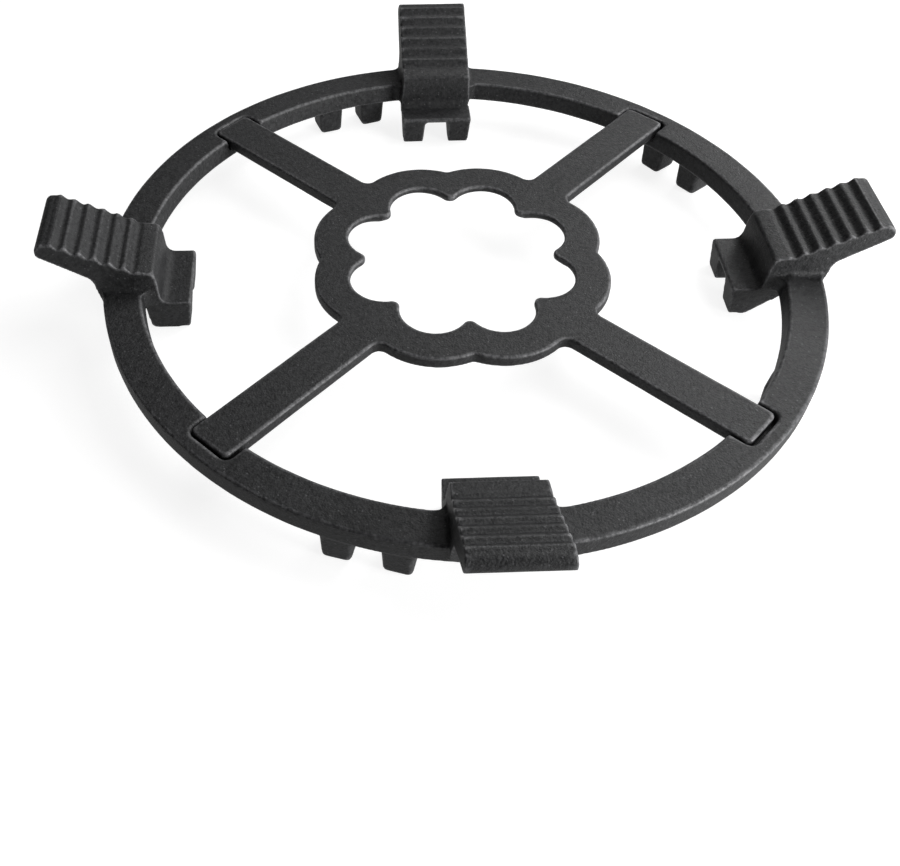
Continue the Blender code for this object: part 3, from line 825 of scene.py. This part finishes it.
def scalloped_collar(stand, top, scallops, group):
    """Plate round the opening, turned first and then scalloped on both rims."""
    inner, outer = COLLAR_INNER_R, COLLAR_OUTER_R
    bottom = top - stand.thickness
    edge = stand.edge_radius
    corners = [
        (outer, top, edge),
        (outer, bottom, edge),
        (inner + stand.undercut_width, bottom, edge),
        (inner, bottom + stand.undercut_height, edge),
        (inner, top, edge),
    ]
    collar = turned("collar", rounded(corners), COLLAR_STEPS, group)
    rims = {}
    arc_radii = {"opening": stand.opening_cusp_radius, "outer": stand.outer_notch_radius}
    for prefix, arc_radius in arc_radii.items():
        centre = getattr(stand, f"{prefix}_lobe_centre")
        radius = getattr(stand, f"{prefix}_lobe_radius")
        arc_centre, arc_angle = small_arc(stand.lobe_count, centre, radius, arc_radius)
        lobe = {"lobe_centre": centre, "lobe_radius": radius}
        small = {"arc_centre": arc_centre, "arc_radius": arc_radius, "arc_angle": arc_angle}
        for what, value in {**lobe, **small}.items():
            rims[f"{prefix.capitalize()}_{what}"] = value
    half_step = math.pi / stand.lobe_count
    run_tree(collar, scallops, None, Half_step=half_step, Inner_rim=inner, Outer_rim=outer, **rims)
    return collar


def stand_arm(stand, top, group):
    """One arm on the X axis, with fillets where it leaves the collar."""
    half_step = math.pi / stand.lobe_count
    lobe_x = stand.outer_lobe_centre * math.cos(half_step)
    lobe_y = stand.outer_lobe_centre * math.sin(half_step)
    fillet = stand.arm_fillet
    fillet_y = stand.arm_half_width + fillet
    reach = stand.outer_lobe_radius + fillet
    fillet_x = lobe_x + math.sqrt(reach**2 - (fillet_y - lobe_y) ** 2)
    lean = math.degrees(math.atan2(fillet_y - lobe_y, fillet_x - lobe_x))
    root = arc((fillet_x, -fillet_y), fillet, 180.0 - lean, 90.0, ARM_FILLET_STEPS)
    buried = (ARM_ROOT_R, root[0][1])
    corner_r = stand.arm_corner_radius
    centre = (stand.arm_end_radius - corner_r, -stand.arm_half_width + corner_r)
    half = [buried] + root + arc(centre, corner_r, -90.0, 0.0, ARM_CORNER_STEPS)
    outline = half + [(x, -y) for x, y in reversed(half)]
    bottom = top - stand.thickness
    arm = loft("arm", [[(x, y, z) for x, y in outline] for z in (bottom, top)], group)
    bevel = arm.modifiers.new("rounding", "BEVEL")
    bevel.width = stand.edge_radius
    bevel.segments = BEVEL_SEGMENTS
    bevel.limit_method = "ANGLE"
    bevel.angle_limit = math.radians(ARM_BEVEL_ANGLE)
    return arm


# Skin


def fuse(name, parts, finish, seed, material, face_target, group):
    """Fuse overlapping shells into one softened, slightly uneven skin at the origin."""
    whole = joined(f"{name}_shells", parts, group)
    remesh = whole.modifiers.new("fuse", "REMESH")
    remesh.mode = "VOXEL"
    remesh.voxel_size = finish.skin_step
    smooth = whole.modifiers.new("soften", "SMOOTH")
    smooth.factor = SOFTEN_FACTOR
    smooth.iterations = SOFTEN_PASSES
    lumps = {"Lump_size": finish.lump_size, "Lump_height": finish.lump_height}
    # The wear reach sets how far the proud measure looks, which places both the rubbed edges and
    # their painted highlight
    run_tree(whole, skin_tree(), material, Wear_reach=WEAR_AND_HIGHLIGHT_REACH, Seed=seed, **lumps)
    dense = finished_mesh(whole)
    dense_item = placed(f"{name}_dense", dense, group)
    thin = dense_item.modifiers.new("thin_out", "DECIMATE")
    dense.calc_loop_triangles()
    thin.ratio = min(1.0, face_target / len(dense.loop_triangles))
    return finished_mesh(dense_item)


def keep_inside(mesh, box):
    """Hold every point inside a box."""
    points = np.empty(len(mesh.vertices) * 3, np.float32)
    mesh.vertices.foreach_get("co", points)
    points = points.reshape(-1, 3)
    np.clip(points, np.array(box[0], np.float32), np.array(box[1], np.float32), out=points)
    mesh.vertices.foreach_set("co", points.ravel())
    mesh.update()


def show_piece(name, mesh, material, node):
    """Put a finished mesh in the scene in the place of its CAD node."""
    mesh.materials.clear()
    mesh.materials.append(material)
    mesh.shade_smooth()
    item = placed(name, mesh, bpy.context.scene.collection)
    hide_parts(node)
    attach(item, ROOT)
    return item


# Surfaces


def cast_iron(name, colour, finish):
    """Matte sand-cast iron: grain and specks in the bump, uneven tone, rubbed edges that also carry
    a painted highlight, and specks painted bright as glints.
    """
    material = bpy.data.materials.new(name)
    material.use_nodes = True
    b = NodeBuilder(material.node_tree)
    shader = material.node_tree.nodes["Principled BSDF"]
    place = b.add("ShaderNodeTexCoord").outputs["Object"]

    def noise(size, detail, roughness=0.5):
        sockets = {"Vector": place, "Scale": 1.0 / size, "Detail": detail, "Roughness": roughness}
        return b.add("ShaderNodeTexNoise", sockets).outputs[0]

    def blend(factor, first, second, **settings):
        sockets = {MIX_FACTOR: factor, MIX_FIRST: first, MIX_SECOND: second}
        return b.add("ShaderNodeMix", sockets, data_type="RGBA", **settings).outputs[MIX_RESULT]

    grain = b.add(
        "ShaderNodeTexVoronoi",
        {"Vector": place, "Scale": 1.0 / finish.grain_size, "Smoothness": 0.6},
        feature="SMOOTH_F1",
    ).outputs["Distance"]
    fine = noise(FINE_SIZE, detail=3.0, roughness=0.65)
    sockets = {"Vector": place, "Scale": 1.0 / GLINT_SPECK_SPACING}
    dots = b.add("ShaderNodeTexVoronoi", sockets, feature="F1")
    few = b.add("ShaderNodeSeparateColor", {0: dots.outputs["Color"]}).outputs[0]
    dot = b.remap(dots.outputs["Distance"], *GLINT_SPECK_DOT)
    # Painted glints: bright specks that are mixed into the colour
    glint_speck = b.math("MULTIPLY", dot, b.remap(few, *GLINT_SPECK_SHARE))
    patches = noise(PATCH_SIZE, detail=3.0)
    mottle = noise(MOTTLE_SIZE, detail=4.0, roughness=0.6)
    proud = b.add("ShaderNodeAttribute", attribute_name="stands_proud").outputs["Fac"]

    # Rubbed edges and ridge crests, where the colour is lightened as wear and as a painted
    # highlight
    wear_and_highlight = b.math("MULTIPLY", b.remap(proud, *RUBBED_AND_HIGHLIT), b.remap(mottle, *RUB_AND_HIGHLIGHT_BREAKS))
    tone = b.math("MULTIPLY", b.remap(patches, *PATCH_TONE), b.remap(mottle, *MOTTLE_TONE))
    tone = b.math("MULTIPLY", tone, b.remap(fine, *FINE_TONE))
    base = blend(1.0, (*colour, 1.0), tone, blend_type="MULTIPLY")
    # Painted highlight and wear: the lighter colour on edges and crests
    worn_and_highlit = blend(wear_and_highlight, base, (*finish.worn_and_highlight_colour, 1.0))
    # Painted glints: the bright specks laid over the colour
    glint_specked = blend(glint_speck, worn_and_highlit, (*finish.glint_speck_colour, 1.0))
    b.feed(shader.inputs["Base Color"], glint_specked)
    polish = b.math("MULTIPLY", wear_and_highlight, WEAR_POLISH)
    rough = b.math("SUBTRACT", b.remap(mottle, *ROUGHNESS), polish)
    b.feed(shader.inputs["Roughness"], rough)

    height = b.math("MULTIPLY_ADD", fine, FINE_HEIGHT, grain)
    height = b.math("MULTIPLY_ADD", noise(DIMPLE_SIZE, detail=2.0), DIMPLE_HEIGHT, height)
    height = b.math("MULTIPLY_ADD", glint_speck, GLINT_SPECK_HEIGHT, height)
    sockets = {"Strength": 1.0, "Distance": finish.grain_height, "Height": height}
    bump = b.add("ShaderNodeBump", sockets)
    b.feed(shader.inputs["Normal"], bump.outputs[0])
    shader.inputs["Metallic"].default_value = 0.0
    b.feed(shader.inputs["Specular IOR Level"], b.remap(mottle, *SHEEN))
    return material


def pale_floor(colour):
    """Floor that keeps shadows and reads as white to the camera and in reflections."""
    material = bpy.data.materials.new("studio_floor")
    material.use_nodes = True
    b = NodeBuilder(material.node_tree)
    shader = material.node_tree.nodes["Principled BSDF"]
    shader.inputs["Base Color"].default_value = (*colour, 1.0)
    shader.inputs["Roughness"].default_value = FLOOR_ROUGHNESS
    shader.inputs["Specular IOR Level"].default_value = 0.0
    path = b.add("ShaderNodeLightPath").outputs
    mirrored = b.math("MAXIMUM", path["Is Glossy Ray"], path["Is Transmission Ray"])
    seen = b.math("MULTIPLY", path["Is Camera Ray"], CAMERA_WHITE)
    seen = b.math("MAXIMUM", seen, b.math("MULTIPLY", mirrored, MIRRORED_WHITE))
    shader.inputs["Emission Color"].default_value = (1.0, 1.0, 1.0, 1.0)
    b.feed(shader.inputs["Emission Strength"], seen)
    return material


# Operators


class WOKRING_OT_cast_ring(bpy.types.Operator):
    """Cast the ring with its four ribbed pads, four lugs, teeth and pockets"""

    bl_idname = "wokring.cast_ring"
    bl_label = "Cast Wok Ring"

    def execute(self, context):
        settings = context.scene
        ring, stand, finish = settings.wok_ring, settings.wok_stand, settings.wok_finish
        group = bench()
        material = cast_iron("ring_iron", finish.ring_colour, finish)
        ridges, circle = ridge_tree(), circle_tree()

        body = ring_body(ring, group)
        pockets = pocket(ring, stand, group)
        repeat_round(pockets, circle, ARM_COUNT, FIRST_ARM, QUARTER_TURN)
        cut_away(body, pockets)
        parts = [body]
        sizes = settings.wok_pad
        shape = PadShape(ring, sizes)
        near_shape = PadShape(ring, sizes, sizes.near_inset, sizes.near_wider)
        rows = ((near_shape, False, 1, -90.0), (shape, False, 2, 0.0), (shape, True, 1, 180.0))
        for kind, long_lug, count, first in rows:
            pad = kind.build(long_lug, ridges, group)
            repeat_round(pad, circle, count, first, QUARTER_TURN)
            parts.append(pad)
        pairs = ((36.0, 2, 0.0), (252.0, 1, 0.0), (324.0, 1, ring.near_tooth_inset))
        for first, count, inset in pairs:
            pair = tooth_pair(ring, inset, group)
            repeat_round(pair, circle, count, first, TOOTH_STEP)
            parts.append(pair)

        skin = (finish, RING_SEED, material, RING_TRIANGLES, group)
        mesh = fuse("ring_casting", parts, *skin)
        keep_inside(mesh, RING_BOX)
        clear_bench(group)
        show_piece("ring_casting", mesh, material, "wok_ring")
        return {"FINISHED"}


class WOKRING_OT_cast_stand(bpy.types.Operator):
    """Cast the scalloped pot stand with its four arms"""

    bl_idname = "wokring.cast_stand"
    bl_label = "Cast Pot Stand"

    def execute(self, context):
        settings = context.scene
        stand, finish = settings.wok_stand, settings.wok_finish
        group = bench()
        material = cast_iron("stand_iron", finish.stand_colour, finish)
        top = settings.wok_ring.top + stand.rise
        collar = scalloped_collar(stand, top, scallop_tree(), group)
        arm = stand_arm(stand, top, group)
        repeat_round(arm, circle_tree(), ARM_COUNT, FIRST_ARM, QUARTER_TURN)
        skin = (finish, STAND_SEED, material, STAND_TRIANGLES, group)
        mesh = fuse("stand_casting", [collar, arm], *skin)
        mesh.transform(Matrix.Translation((-stand.shift, 0.0, 0.0)))
        keep_inside(mesh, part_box("pot_stand"))
        clear_bench(group)
        show_piece("stand_casting", mesh, material, "pot_stand")
        return {"FINISHED"}


class WOKRING_OT_set_stage(bpy.types.Operator):
    """Set the floor, the lamps and the camera"""

    bl_idname = "wokring.set_stage"
    bl_label = "Set Stage"

    def execute(self, context):
        stage = context.scene.wok_stage
        self.floor(context, stage)
        self.sky(context, stage)
        for name, place, size, power in LAMPS:
            self.lamp(context, name, place, size, power * stage.lamp_level)
        self.camera(context)
        context.scene.view_settings.view_transform = "Standard"
        return {"FINISHED"}

    def floor(self, context, stage):
        """Flat floor under the feet."""
        bm = bmesh.new()
        bmesh.ops.create_grid(bm, x_segments=1, y_segments=1, size=FLOOR_REACH)
        mesh = mesh_from_bmesh("floor", bm)
        mesh.materials.append(pale_floor(stage.floor_colour))
        floor = placed("floor", mesh, context.scene.collection)
        floor.location.z = -FLOOR_DROP

    def sky(self, context, stage):
        """Even sky, white where the camera sees it."""
        world = bpy.data.worlds.new("studio_sky")
        world.use_nodes = True
        context.scene.world = world
        b = NodeBuilder(world.node_tree)
        background = world.node_tree.nodes["Background"]
        background.inputs["Color"].default_value = (1.0, 1.0, 1.0, 1.0)
        path = b.add("ShaderNodeLightPath").outputs
        seen = b.math("MAXIMUM", path["Is Camera Ray"], path["Is Transmission Ray"])
        rest = b.math("SUBTRACT", 1.0, stage.sky_strength)
        strength = b.math("MULTIPLY_ADD", seen, rest, stage.sky_strength)
        b.feed(background.inputs["Strength"], strength)

    def lamp(self, context, name, place, size, power):
        """Square area lamp that faces the ring."""
        data = bpy.data.lights.new(name, "AREA")
        data.size = size
        data.energy = power
        item = placed(name, data, context.scene.collection)
        item.location = place
        item.rotation_euler = (-Vector(place)).to_track_quat("-Z", "Y").to_euler()

    def camera(self, context):
        """Camera at the height, distance and turn of the picture's view."""
        elevation = math.radians(CAMERA_ELEVATION)
        ring_top = Vector((0.0, 0.0, context.scene.wok_ring.top))
        aim = Vector(CAMERA_AIM)
        away = Vector((0.0, -math.cos(elevation), math.sin(elevation)))
        turn = Matrix.Rotation(math.radians(CAMERA_TURN), 3, "Z")
        place = turn @ (aim + away * CAMERA_DISTANCE) + ring_top
        aim = turn @ aim + ring_top
        data = bpy.data.cameras.new("camera")
        data.sensor_width = SENSOR_WIDTH
        data.lens = CAMERA_LENS
        data.shift_x = CAMERA_SHIFT
        data.clip_start = CLIP_START
        camera = placed("camera", data, context.scene.collection)
        camera.location = place
        camera.rotation_euler = (aim - place).normalized().to_track_quat("-Z", "Y").to_euler()
        context.scene.camera = camera


class WOKRING_PT_panel(bpy.types.Panel):
    """Sizes and steps of the wok ring"""

    bl_label = "Wok Ring"
    bl_idname = "WOKRING_PT_panel"
    bl_space_type = "VIEW_3D"
    bl_region_type = "UI"
    bl_category = "Wok Ring"

    def draw(self, context):
        layout = self.layout
        for step in STEPS:
            layout.operator(step.bl_idname)
        for attribute, group in PROPERTY_GROUPS.items():
            box = layout.box()
            box.label(text=group.__doc__)
            for name in group.__annotations__:
                box.prop(getattr(context.scene, attribute), name)


PROPERTY_GROUPS = {
    "wok_ring": RingSizes,
    "wok_pad": PadSizes,
    "wok_stand": StandSizes,
    "wok_finish": IronFinish,
    "wok_stage": StageSettings,
}
STEPS = (WOKRING_OT_cast_ring, WOKRING_OT_cast_stand, WOKRING_OT_set_stage)


def register():
    """Register the classes and hang the properties on the scene."""
    for item in (*PROPERTY_GROUPS.values(), *STEPS, WOKRING_PT_panel):
        bpy.utils.register_class(item)
    for attribute, group in PROPERTY_GROUPS.items():
        setattr(bpy.types.Scene, attribute, PointerProperty(type=group))


def unregister():
    """Take the properties off the scene and unregister the classes."""
    for attribute in PROPERTY_GROUPS:
        delattr(bpy.types.Scene, attribute)
    for item in reversed((*PROPERTY_GROUPS.values(), *STEPS, WOKRING_PT_panel)):
        bpy.utils.unregister_class(item)


def main():
    """Register, make both castings and the stage."""
    register()
    bpy.ops.wokring.cast_ring()
    bpy.ops.wokring.cast_stand()
    bpy.ops.wokring.set_stage()


if __name__ == "__main__":
    main()
